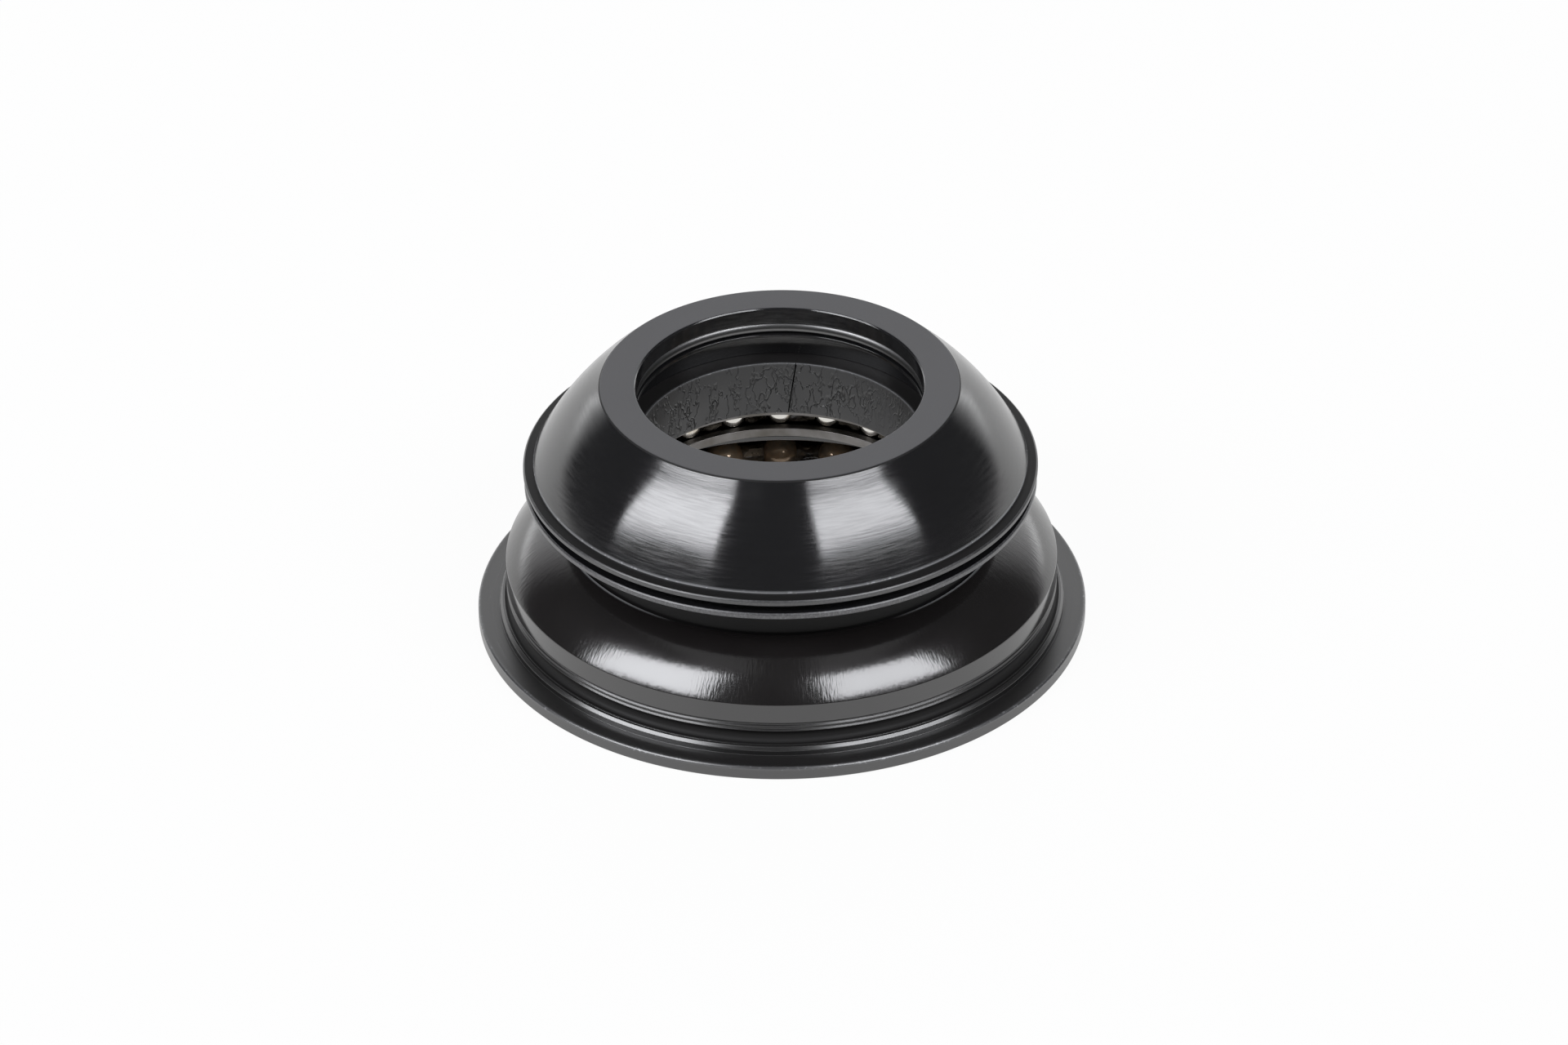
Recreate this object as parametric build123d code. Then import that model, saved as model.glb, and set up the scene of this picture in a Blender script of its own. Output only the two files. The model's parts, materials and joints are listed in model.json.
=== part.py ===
from build123d import *
import math
import os

# A tapered semi-integrated bicycle headset, stacked as it stands on a table:
# the upper assembly rests with its skirt in the hole of the lower cup.
# All sizes are in millimetres. The axis is Z, and the lower flange lies on Z = 0.

# Sizes set by the bicycle
STEERER_R = 14.3          # steerer tube
CROWN_SEAT_R = 19.9       # race seat on the fork's crown
UPPER_SEAT_R = 22.0       # upper bore of the head tube
LOWER_SEAT_R = 28.05      # lower bore of the head tube

# Balls and their spacing
BALL_R = 1.984
UPPER_BALL_SPACING = 1.25 # gap between neighbouring balls
LOWER_BALL_SPACING = 1.75
RACE_GAP = 0.05           # oil film between a ball and its races
POCKET_GAP = 0.08         # play of a ball in its retainer

# Lower cup, from the table up
FLANGE_REACH = 2.95       # flange past the press-fit wall
FLANGE_THICK = 1.45
SHOULDER_REACH = 0.75     # low shoulder past the press-fit wall
SHOULDER_RISE = 0.9
SHOULDER_SLOPE = 0.27     # width of the slope on its edge
SHOULDER_FALL = 0.35      # height of that slope
LIP_REACH = 0.25          # fine second step on the shoulder
LIP_RISE = 0.12
RELIEF_HEIGHT = 1.4       # hollow turned in below the press-fit wall
RELIEF_DEPTH = 0.45
SEAT_LENGTH = 3.05        # press-fit wall
SCORE_LINES = 2           # fine scored lines near the foot of that wall
SCORE_DEPTH = 0.15
SCORE_WIDTH = 0.42
SCORE_FIRST = 0.25
SCORE_STEP = 0.5
DOME_RISE = 4.65
DOME_LEAN = 34.0          # degrees from upright where the dome leaves the wall
LOWER_CUP_WALL = 1.5      # from the press-fit wall in to the race
WEB_THICK = 0.95          # shelf over the lower race that the upper cup stands on
WEB_REACH = 0.8           # shelf inside the upper cup's outer wall
NEST_GAP = 0.2            # play of the upper cup in the lower cup's hole

# Lower bearing
CROWN_LIFT = 0.2          # crown race above the table
CROWN_BASE = 1.6
CROWN_FLOOR = 0.17        # ball track above the crown race's base
CROWN_RISE = 3.4          # crown race's whole height
CROWN_REACH = 0.7         # crown race past the ball circle
LOWER_RACE_WALL = 1.2
LOWER_RACE_ROOF = 0.95
LOWER_RACE_DROP = 0.8     # race's lower edge below the ball centres
LOWER_RACE_REACH = 0.6    # race inside the ball circle
CROWN_SEAL_THICK = 0.65
CROWN_SEAL_INSET = 0.1    # seal above the crown race's under face
CROWN_SEAL_LIP = 0.9      # slope at the seal's outer edge
CROWN_SEAL_GAP = 0.25     # between the seal and the lower cup

# Upper cup
SKIRT_LENGTH = 7.76
SKIRT_LEAD = 0.4          # chamfer that leads the skirt into the head tube
UPPER_CUP_WALL = 1.05     # from the press-fit skirt in to the race
SKIRT_STEP = 0.65         # ledge that the upper race stands on
CUP_FLANGE_REACH = 3.95
CUP_FLANGE_THICK = 0.72

# Upper bearing
UPPER_BALL_DEPTH = 3.4    # ball centres below the cup flange's top
UPPER_RACE_WALL = 0.62
UPPER_RACE_FLOOR = 0.75
UPPER_RACE_RISE = 0.4     # race's upper edge above the ball centres
INNER_LIP_GAP = 1.5       # between the steerer and the race's inner lip
INNER_LIP_RISE = 0.82     # lip above the bottom of the ball track
INNER_LIP_WALL = 0.92     # height of the lip's inner edge
INNER_LIP_SLOPE = 1.0     # width of the slope below that edge
CONE_RISE = 6.1           # cone's top above the ball centres
CONE_NOSE = 0.7           # cone's lower edge above the ball centres
CONE_REACH = 0.7          # cone past the ball circle

# Retainers, each a band through the balls with a spine on its outer side
RETAINER_THICK = 0.8
RETAINER_SPINE = 0.54     # band past the ball pockets
RETAINER_FINGER = 0.9     # fingers past the ball circle
RETAINER_TILT = 45.0

# Compression ring
RING_SLIP = 0.03          # between the ring and the steerer
RING_WALL = 0.95          # at the thin end
RING_TAPER = 2.1          # growth to the thick end, at 45 degrees
RING_HEAD = 1.5
RING_TAIL = 2.4
RING_SPLIT = 0.5
RING_SPLIT_ANGLE = 87.0
TAPER_GAP = 0.03          # between the ring and the cone

# Top cover, from its rim up
RIM_GAP = 0.88            # above the upper cup's flange
RIM_REACH = 0.1           # rim past that flange
RIM_BAND = 0.7
LEDGE_WIDTH = 1.05
LEDGE_SLOPE = 0.06
LEDGE_STEP = 0.24
COVER_RISE = 8.8          # conical flank
FLANK_BULGE = 0.5
TOP_FACE = 3.75           # width of the flat top
COVER_SLIP = 0.2          # between the cover's bore and the steerer
BORE_DEPTH = 3.55
RECESS_REACH = 1.8        # recess below the bore
PRESS_REACH = 0.2         # pressing edge past the compression ring
ROOF_LIFT = 1.4           # hollow above the pressing edge
COVER_WALL = 2.4          # across the flank, measured level
O_RING_R = 0.65           # radius of its section
O_RING_DEPTH = 2.45       # its middle below the top
O_RING_INSET = 0.03       # behind the bore
O_RING_PLAY = 0.05        # in its groove
SEAL_WALL = 1.3           # lip seal's width
SEAL_SEAT = 1.25          # its seat above the rim's under face
RIM_WALL = 2.45           # from the seal out to the rim
SEAL_GAP = 0.15           # between the lip seal and the upper cup

EDGE = 0.15               # small bevel on the turned edges

# Lower cup's radii and levels
flange_r = LOWER_SEAT_R + FLANGE_REACH
shoulder_r = LOWER_SEAT_R + SHOULDER_REACH
lip_r = LOWER_SEAT_R + LIP_REACH
lower_race_r = LOWER_SEAT_R - LOWER_CUP_WALL
hole_r = UPPER_SEAT_R + NEST_GAP
web_r = UPPER_SEAT_R - WEB_REACH
shoulder_z = FLANGE_THICK + SHOULDER_RISE
lip_z = shoulder_z + LIP_RISE
wall_z = lip_z + RELIEF_HEIGHT
crease_z = wall_z + SEAT_LENGTH
dome_z = crease_z + DOME_RISE

# Lower bearing's radii and levels
track_r = BALL_R + RACE_GAP
pocket_r = BALL_R + POCKET_GAP
lower_pitch_r = lower_race_r - LOWER_RACE_WALL - track_r
crown_base_z = CROWN_LIFT + CROWN_BASE
lower_ball_z = crown_base_z + CROWN_FLOOR + track_r
lower_race_z = lower_ball_z + track_r + LOWER_RACE_ROOF
crown_r = lower_pitch_r + CROWN_REACH
web_z = lower_race_z + WEB_THICK

# Upper cup's and upper bearing's radii and levels
cup_flange_r = UPPER_SEAT_R + CUP_FLANGE_REACH
cup_flange_z = web_z + SKIRT_LENGTH
cup_top_z = cup_flange_z + CUP_FLANGE_THICK
upper_race_r = UPPER_SEAT_R - UPPER_CUP_WALL
skirt_inner_r = upper_race_r - SKIRT_STEP
upper_pitch_r = upper_race_r - UPPER_RACE_WALL - track_r
upper_ball_z = cup_top_z - UPPER_BALL_DEPTH
upper_track_z = upper_ball_z - track_r
upper_race_z = upper_track_z - UPPER_RACE_FLOOR

# Compression ring's and cone's radii and levels
ring_bore_r = STEERER_R + RING_SLIP
ring_tail_r = ring_bore_r + RING_WALL
ring_head_r = ring_tail_r + RING_TAPER
cone_bore_r = ring_tail_r + TAPER_GAP
cone_r = upper_pitch_r + CONE_REACH
cone_z = upper_ball_z + CONE_RISE
ring_taper_z = cone_z - RING_TAPER
ring_bottom_z = ring_taper_z - RING_TAIL
ring_top_z = cone_z + RING_HEAD

# Top cover's radii and levels
rim_r = cup_flange_r + RIM_REACH
flank_r = rim_r - LEDGE_WIDTH
cover_bore_r = STEERER_R + COVER_SLIP
top_r = cover_bore_r + TOP_FACE
recess_r = cover_bore_r + RECESS_REACH
press_r = ring_head_r + PRESS_REACH
seal_r = rim_r - RIM_WALL
rim_z = cup_top_z + RIM_GAP
band_z = rim_z + RIM_BAND
ledge_z = band_z + LEDGE_SLOPE
flank_z = ledge_z + LEDGE_STEP
top_z = flank_z + COVER_RISE
bore_foot_z = top_z - BORE_DEPTH
roof_z = ring_top_z + ROOF_LIFT
seal_top_z = rim_z + SEAL_SEAT
o_ring_mid_r = cover_bore_r + O_RING_INSET + O_RING_R
o_ring_z = top_z - O_RING_DEPTH


def outline(*points):
    """A closed section with straight sides, each point a radius and a level."""
    return make_face(Polyline(*points, close=True))


def turned(section):
    """Turn a section about the vertical axis."""
    return revolve(Plane.XZ * section, Axis.Z)


def track(pitch_r, ball_z):
    """Section of the channel that the balls run in."""
    return Pos(pitch_r, ball_z) * Circle(track_r)


def scored_lines():
    """Points of the fine scored lines on the lower cup's press-fit wall."""
    points = []
    for row in range(SCORE_LINES):
        middle = wall_z + SCORE_FIRST + row * SCORE_STEP
        points.append((LOWER_SEAT_R, middle - SCORE_WIDTH / 2))
        points.append((LOWER_SEAT_R - SCORE_DEPTH, middle))
        points.append((LOWER_SEAT_R, middle + SCORE_WIDTH / 2))
    return points


def lower_cup():
    """Wide cup: flange, shoulder, relief, press-fit wall and dome, with a stepped hole."""
    foot = Polyline(
        (lower_race_r + EDGE, 0),
        (flange_r - EDGE, 0),
        (flange_r, EDGE),
        (flange_r, FLANGE_THICK - EDGE),
        (flange_r - EDGE, FLANGE_THICK),
        (shoulder_r, FLANGE_THICK),
        (shoulder_r, shoulder_z - SHOULDER_FALL),
        (shoulder_r - SHOULDER_SLOPE, shoulder_z),
        (lip_r, shoulder_z),
        (lip_r, lip_z),
        (LOWER_SEAT_R, lip_z),
    )
    relief_mid = (LOWER_SEAT_R - RELIEF_DEPTH, (lip_z + wall_z) / 2)
    relief = ThreePointArc((LOWER_SEAT_R, lip_z), relief_mid, (LOWER_SEAT_R, wall_z))
    wall = Polyline((LOWER_SEAT_R, wall_z), *scored_lines(), (LOWER_SEAT_R, crease_z))
    lean = math.radians(DOME_LEAN)
    dome = TangentArc(
        (LOWER_SEAT_R, crease_z),
        (hole_r + EDGE, dome_z),
        tangent=(-math.sin(lean), math.cos(lean)),
    )
    inside = Polyline(
        (hole_r + EDGE, dome_z),
        (hole_r, dome_z - EDGE),
        (hole_r, web_z),
        (web_r, web_z),
        (web_r, lower_race_z),
        (lower_race_r, lower_race_z),
        (lower_race_r, EDGE),
        (lower_race_r + EDGE, 0),
    )
    return turned(make_face([foot, relief, wall, dome, inside]))


def lower_race():
    """Steel race pressed into the lower cup, over the balls."""
    inner_r = lower_pitch_r - LOWER_RACE_REACH
    foot_z = lower_ball_z - LOWER_RACE_DROP
    block = outline(
        (inner_r, foot_z),
        (lower_race_r, foot_z),
        (lower_race_r, lower_race_z),
        (inner_r, lower_race_z),
    )
    below_inner = outline(
        (inner_r, foot_z),
        (lower_pitch_r, foot_z),
        (lower_pitch_r, lower_ball_z),
        (inner_r, lower_ball_z),
    )
    return turned(block - below_inner - track(lower_pitch_r, lower_ball_z))


def crown_race():
    """Race on the fork's crown, under the balls."""
    top_level = CROWN_LIFT + CROWN_RISE
    block = outline(
        (CROWN_SEAT_R + EDGE, CROWN_LIFT),
        (crown_r, CROWN_LIFT),
        (crown_r, crown_base_z),
        (lower_pitch_r, crown_base_z),
        (lower_pitch_r, top_level),
        (CROWN_SEAT_R, top_level),
        (CROWN_SEAT_R, CROWN_LIFT + EDGE),
    )
    return turned(block - track(lower_pitch_r, lower_ball_z))


def crown_race_seal():
    """Rubber ring on the crown race, with a sloping lip towards the lower cup."""
    foot_z = CROWN_LIFT + CROWN_SEAL_INSET
    head_z = foot_z + CROWN_SEAL_THICK
    seal_edge_r = lower_race_r - CROWN_SEAL_GAP
    return turned(outline(
        (crown_r, foot_z),
        (seal_edge_r - CROWN_SEAL_LIP, foot_z),
        (seal_edge_r, (foot_z + head_z) / 2),
        (seal_edge_r, head_z),
        (crown_r, head_z),
    ))


def upper_cup():
    """Cup with a thin flange and a press-fit skirt that stands on the lower cup's shelf."""
    return turned(outline(
        (skirt_inner_r, web_z),
        (UPPER_SEAT_R - SKIRT_LEAD, web_z),
        (UPPER_SEAT_R, web_z + SKIRT_LEAD),
        (UPPER_SEAT_R, cup_flange_z),
        (cup_flange_r - EDGE, cup_flange_z),
        (cup_flange_r, cup_flange_z + EDGE),
        (cup_flange_r, cup_top_z - EDGE),
        (cup_flange_r - EDGE, cup_top_z),
        (upper_race_r + EDGE, cup_top_z),
        (upper_race_r, cup_top_z - EDGE),
        (upper_race_r, upper_race_z),
        (skirt_inner_r, upper_race_z),
    ))


def upper_race():
    """Steel race pressed into the upper cup, under the balls, with a low lip round the steerer."""
    lip_bore_r = STEERER_R + INNER_LIP_GAP
    inner_lip_z = upper_track_z + INNER_LIP_RISE
    head_z = upper_ball_z + UPPER_RACE_RISE
    block = outline(
        (lip_bore_r, inner_lip_z - INNER_LIP_WALL),
        (lip_bore_r + INNER_LIP_SLOPE, upper_race_z),
        (upper_race_r, upper_race_z),
        (upper_race_r, head_z),
        (upper_pitch_r, head_z),
        (upper_pitch_r, inner_lip_z),
        (lip_bore_r, inner_lip_z),
    )
    return turned(block - track(upper_pitch_r, upper_ball_z))


def upper_cone():
    """Steel cone over the balls, with the taper that the compression ring sits in."""
    nose_z = upper_ball_z + CONE_NOSE
    block = outline(
        (cone_bore_r, nose_z),
        (cone_r, nose_z),
        (cone_r, cone_z),
        (ring_head_r + TAPER_GAP, cone_z),
        (cone_bore_r, ring_taper_z),
    )
    right_of_track = outline(
        (upper_pitch_r, nose_z),
        (cone_r, nose_z),
        (cone_r, upper_ball_z + track_r),
        (upper_pitch_r, upper_ball_z + track_r),
    )
    return turned(block - right_of_track - track(upper_pitch_r, upper_ball_z))


def compression_ring():
    """Split ring that centres the steerer in the cone."""
    ring = turned(outline(
        (ring_bore_r, ring_bottom_z),
        (ring_tail_r, ring_bottom_z),
        (ring_tail_r, ring_taper_z),
        (ring_head_r, cone_z),
        (ring_head_r, ring_top_z),
        (ring_bore_r, ring_top_z),
    ))
    low_corner = (Align.MIN, Align.CENTER, Align.MIN)
    slot = Box(2 * ring_head_r, RING_SPLIT, 2 * ring_top_z, align=low_corner)
    return ring - Rot(0, 0, RING_SPLIT_ANGLE) * slot


def top_cover():
    """Conical cover with a rim, a flat top, and a hollow under it for the cone and the seal."""
    rim = Polyline(
        (seal_r, rim_z),
        (rim_r - EDGE, rim_z),
        (rim_r, rim_z + EDGE),
        (rim_r, band_z - EDGE),
        (rim_r - EDGE, band_z),
        (flank_r, ledge_z),
        (flank_r, flank_z),
    )
    flank_foot = Vector(flank_r, flank_z)
    flank_head = Vector(top_r, top_z - EDGE)
    along = (flank_head - flank_foot).normalized()
    outwards = Vector(along.Y, -along.X)
    flank_mid = (flank_foot + flank_head) * 0.5 + outwards * FLANK_BULGE
    flank = ThreePointArc(flank_foot, flank_mid, flank_head)
    groove_half = O_RING_R + O_RING_PLAY
    groove_r = o_ring_mid_r + groove_half
    roof_r = flank_r - COVER_WALL - (roof_z - flank_z) * (flank_r - top_r) / COVER_RISE
    inside = Polyline(
        (top_r, top_z - EDGE),
        (top_r - EDGE, top_z),
        (cover_bore_r + EDGE, top_z),
        (cover_bore_r, top_z - EDGE),
        (cover_bore_r, o_ring_z + groove_half),
        (groove_r, o_ring_z + groove_half),
        (groove_r, o_ring_z - groove_half),
        (cover_bore_r, o_ring_z - groove_half),
        (cover_bore_r, bore_foot_z),
        (recess_r, bore_foot_z),
        (recess_r, ring_top_z),
        (press_r, ring_top_z),
        (press_r, roof_z),
        (roof_r, roof_z),
        (flank_r - COVER_WALL, seal_top_z),
        (seal_r, seal_top_z),
        (seal_r, rim_z),
    )
    return turned(make_face([rim, flank, inside]))


def cover_o_ring():
    """Rubber ring in the groove of the cover's bore."""
    return turned(Pos(o_ring_mid_r, o_ring_z) * Circle(O_RING_R))


def cover_lip_seal():
    """Rubber ring under the cover's rim, with a lip that slopes down to the upper cup."""
    foot_z = cup_top_z + SEAL_GAP
    return turned(outline(
        (seal_r - SEAL_WALL, rim_z),
        (seal_r, foot_z),
        (seal_r, seal_top_z),
        (seal_r - SEAL_WALL, seal_top_z),
    ))


def ball_count(pitch_r, spacing):
    """How many balls a ball circle holds."""
    return math.floor(2 * math.pi * pitch_r / (2 * BALL_R + spacing))


def balls(pitch_r, ball_z, count, radius):
    """Spheres evenly spaced on a ball circle, the first at the back."""
    first = Pos(0, pitch_r, ball_z) * Sphere(radius)
    return [Rot(0, 0, -360 * index / count) * first for index in range(count)]


def retainer(pitch_r, ball_z, count, tilt):
    """Band through a ball circle, leaning by tilt degrees, with a pocket for each ball."""
    along = Vector(math.cos(math.radians(tilt)), math.sin(math.radians(tilt)))
    across = Vector(-along.Y, along.X) * (RETAINER_THICK / 2)
    middle = Vector(pitch_r, ball_z)
    spine = middle + along * (pocket_r + RETAINER_SPINE)
    finger = middle - along * RETAINER_FINGER
    band = turned(outline(finger - across, spine - across, spine + across, finger + across))
    return band - balls(pitch_r, ball_z, count, pocket_r)


def save(name, solid):
    export_step(solid, f"parts/{name}.step")


def main():
    os.makedirs("parts", exist_ok=True)
    lower_balls = ball_count(lower_pitch_r, LOWER_BALL_SPACING)
    upper_balls = ball_count(upper_pitch_r, UPPER_BALL_SPACING)
    save("lower_cup", lower_cup())
    save("lower_race", lower_race())
    save("lower_ball_retainer", retainer(lower_pitch_r, lower_ball_z, lower_balls, -RETAINER_TILT))
    save("crown_race", crown_race())
    save("crown_race_seal", crown_race_seal())
    save("upper_cup", upper_cup())
    save("upper_race", upper_race())
    save("upper_ball_retainer", retainer(upper_pitch_r, upper_ball_z, upper_balls, RETAINER_TILT))
    save("upper_cone", upper_cone())
    save("compression_ring", compression_ring())
    save("top_cover", top_cover())
    save("cover_o_ring", cover_o_ring())
    save("cover_lip_seal", cover_lip_seal())
    for name, pitch_r, ball_z, count in (
        ("lower_ball", lower_pitch_r, lower_ball_z, lower_balls),
        ("upper_ball", upper_pitch_r, upper_ball_z, upper_balls),
    ):
        for number, ball in enumerate(balls(pitch_r, ball_z, count, BALL_R), start=1):
            save(f"{name}_{number:02d}", ball)


main()
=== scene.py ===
import json
import math

import bpy
import numpy as np
from mathutils import Matrix, Vector, noise


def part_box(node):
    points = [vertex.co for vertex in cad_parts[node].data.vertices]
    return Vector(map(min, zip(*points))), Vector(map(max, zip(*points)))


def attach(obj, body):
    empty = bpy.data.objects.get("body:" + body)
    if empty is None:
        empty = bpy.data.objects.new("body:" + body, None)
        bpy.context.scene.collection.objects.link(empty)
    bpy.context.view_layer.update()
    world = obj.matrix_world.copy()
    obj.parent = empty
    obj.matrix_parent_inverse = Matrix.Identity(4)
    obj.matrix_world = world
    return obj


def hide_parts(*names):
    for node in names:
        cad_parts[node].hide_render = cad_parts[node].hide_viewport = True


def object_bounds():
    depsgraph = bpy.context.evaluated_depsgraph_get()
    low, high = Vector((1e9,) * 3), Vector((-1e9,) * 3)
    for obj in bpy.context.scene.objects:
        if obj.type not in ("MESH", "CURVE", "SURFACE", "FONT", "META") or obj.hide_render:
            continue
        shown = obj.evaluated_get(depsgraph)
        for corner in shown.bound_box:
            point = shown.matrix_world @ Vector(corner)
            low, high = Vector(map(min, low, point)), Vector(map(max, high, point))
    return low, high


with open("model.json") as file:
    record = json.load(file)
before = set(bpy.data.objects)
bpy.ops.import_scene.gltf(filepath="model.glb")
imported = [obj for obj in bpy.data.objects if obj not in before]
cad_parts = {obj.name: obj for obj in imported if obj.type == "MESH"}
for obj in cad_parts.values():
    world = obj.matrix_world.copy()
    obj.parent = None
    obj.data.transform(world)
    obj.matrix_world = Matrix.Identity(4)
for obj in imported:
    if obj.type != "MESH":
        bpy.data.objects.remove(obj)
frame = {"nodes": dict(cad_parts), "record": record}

# A bicycle headset: turned black rings, steel races and greased balls, all about the Z axis.
# Lengths are in metres. MM turns the small ones into plain millimetres.
MM = 0.001
cad_low, cad_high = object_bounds()

# Sizes of the solids that the frame doesn't give by themselves
LEDGE_WIDTH = 1.05 * MM          # from the cover's rim in to the cone's foot
COVER_RISE = 8.8 * MM            # from the cone's foot up to the top face
TOP_INSET = 7.95 * MM            # from the cover's rim in to the top face's edge
CUP_FLANGE_DROP = 11.4 * MM      # from the top face down to the underside of the upper cup's flange
FLANGE_THICK = 1.45 * MM         # lower flange
SHOULDER_RISE = 0.9 * MM         # low shoulder on that flange
SCORED_HEIGHT = 1.1 * MM         # scored foot of the press-fit wall
SCORE_INSET = 0.002 * MM         # a face this far in from the wall is part of a scored line
WALL_DEPTH = 1.0 * MM            # a face further in from the wall is inside the cup

# Places from the frame
nodes = frame["nodes"]
mounts = {mount["name"]: mount for mount in frame["record"]["mounts"]}
height = cad_high.z - cad_low.z
rim_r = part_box("top_cover")[1].x
top_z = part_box("top_cover")[1].z
top_r = rim_r - TOP_INSET
cone_foot_r = rim_r - LEDGE_WIDTH
cone_foot_z = top_z - COVER_RISE
cup_flange_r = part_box("upper_cup")[1].x
cup_flange_low = top_z - CUP_FLANGE_DROP
flange_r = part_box("lower_cup")[1].x
flange_z = cad_low.z + FLANGE_THICK
shoulder_z = flange_z + SHOULDER_RISE
dome_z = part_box("lower_cup")[1].z
ring_top_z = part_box("compression_ring")[1].z
ring_bore_r = mounts["steerer_bore"]["dims"]["r_mm"] * MM
seat = mounts["head_tube_seat"]
seat_r = seat["dims"]["r_mm"] * MM
seat_length = seat["dims"]["length_mm"] * MM
seat_foot_z = seat["pos_m"][2] - seat_length / 2
crease_z = seat_foot_z + seat_length

# The view of the photograph
CAMERA_DISTANCE = 0.9
CAMERA_ELEVATION = math.radians(32.88)
CAMERA_ROLL = math.radians(-0.596)
CAMERA_LENS = 204.4
CAMERA_CLIP = (0.01, 20.0)
SENSOR_WIDTH = 36.0
LOOK_ASIDE = 0.296 * MM
LOOK_FORWARD = 3.944 * MM
LOOK_UP = 13.0 * MM

# Floor
FLOOR_HUB_R = 0.05
FLOOR_FLAT_R = 1.5
FLOOR_R = 4.0
FLOOR_RISE = 0.25
FLOOR_GAP = 0.02 * MM
FLOOR_COLUMNS = 96
FLOOR_FLAT_RINGS = 6
FLOOR_RISING_RINGS = 12
FLOOR_SEEN = 0.95                # share of plain white for the camera
FLOOR_MIRRORED = 0.75            # share of plain white for reflections, in front of the object
FLOOR_SIDES = (14 * MM, 34 * MM)  # and to its sides that share grows to 1

# Softboxes, with their edges as shares of their distance
SOFTBOX_DISTANCE = 1.1
SOFTBOX_HIGH = 1.52
SOFTBOX_TINT = (0.955, 0.965, 1.0)
SOFTBOXES = {
    "softbox_left": dict(facing=math.radians(-27), near=0.12, far=1.5, low=0.66, radiance=7.4),
    "softbox_right": dict(facing=math.radians(27), near=-0.12, far=0.98, low=0.71, radiance=6.5),
}

# Surroundings: their brightness, and the parts of a direction between which they come up
WORLD_TINT = (0.985, 0.99, 1.0, 1.0)
BASE_LEVEL = 0.06
BEHIND = (0.52, 0.84)
BACKDROP_LEVEL = 1.1
BACKDROP_UP = (0.74, 0.50)
FOOT_LEVEL = 2.2
FOOT_UP = (0.22, 0.0)
CEILING_LEVEL = 0.22
CEILING_UP = (0.84, 0.91)
CEILING_ASIDE = (0.10, 0.16)

# Turned pieces
SEGMENTS = 288
SEAM_WIDTH = 1e-6
CORNER_TURN = math.radians(24)   # a sharper turn is a corner, and a gentler one is part of an arc
STEP_TURN = math.radians(2.5)
ROUND = 0.06 * MM
CREASE_ROUND = 0.1 * MM
ROUND_SHARE = 0.4                # of the shorter side, the most that a round may take
ROUND_STEPS = 4
ROUND_END = 0.6                  # edge value where a round ends; it is 1 on the round
GUARD = 3.0                      # a row this many rounds from a corner holds the side straight
BEVEL = 0.17 * MM
EDGE_REACH = 0.3 * MM
NEAR = 0.02 * MM

# Split of the compression ring
SPLIT_ANGLE = math.radians(84.8)
SPLIT_HALF = 0.09 * MM
SPLIT_LEAN = 10.0                # radians for each metre of height
SPLIT_CLOSED = 0.05              # share of its width away from the bore

# Grease, with its thickness as a share of the balls'
GREASE_ROUND = 360
GREASE_ACROSS = 20
GREASE_LUMP = 1.1 * MM
GREASE_DEPTH = 0.14
UPPER_GREASE = 0.86
LOWER_GREASE = 0.60

# Finishes
BARE_METAL_AND_HIGHLIGHT = (0.62, 0.63, 0.65)
BARE_ROUGH = 0.35
NOISE_RANGE = (0.3, 0.7)         # between which nearly all of a noise lies
HOLE_HIGHLIGHT_SIDES = (11 * MM, 16 * MM)  # to either side, where the painted highlight along the hole's edge comes up
DOME_MARK_R = 26 * MM
DOME_MARK_SQUEEZE = 0.25
CREASE_SETS = ((340, 0.6), (620, -0.5))   # scale and slant of the crinkles in the greased ring
CREASE_SQUEEZE = (1.0, 1.0, 0.5)
CREASE_WIDTH = 0.022


# The section of a turned node

def seam_loop(node):
    """Radius and height of a turned node's section, in order and anticlockwise."""
    mesh = nodes[node].data
    place = [(round(v.co.x, 8), round(v.co.z, 8)) for v in mesh.vertices]
    on_seam = [abs(v.co.y) < SEAM_WIDTH and v.co.x > 0 for v in mesh.vertices]
    near = {}
    for edge in mesh.edges:
        a, b = edge.vertices
        if on_seam[a] and on_seam[b] and place[a] != place[b]:
            near.setdefault(place[a], set()).add(place[b])
            near.setdefault(place[b], set()).add(place[a])
    join_level_ends(near)
    loop = [min(near)]
    while True:
        ahead = [p for p in sorted(near[loop[-1]]) if p not in loop]
        if not ahead:
            break
        loop.append(ahead[0])
    points = np.array(loop)
    r, z = points[:, 0], points[:, 1]
    area = np.sum(r * np.roll(z, -1) - np.roll(r, -1) * z)
    return points if area > 0 else points[::-1]


def join_level_ends(near):
    """A flat ring has no seam edge of its own, so its two ends are joined across."""
    levels = {}
    for point, others in near.items():
        if len(others) == 1:
            levels.setdefault(round(point[1], 6), []).append(point)
    for ends in levels.values():
        ends.sort()
        for a, b in zip(ends[0::2], ends[1::2]):
            near[a].add(b)
            near[b].add(a)


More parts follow.
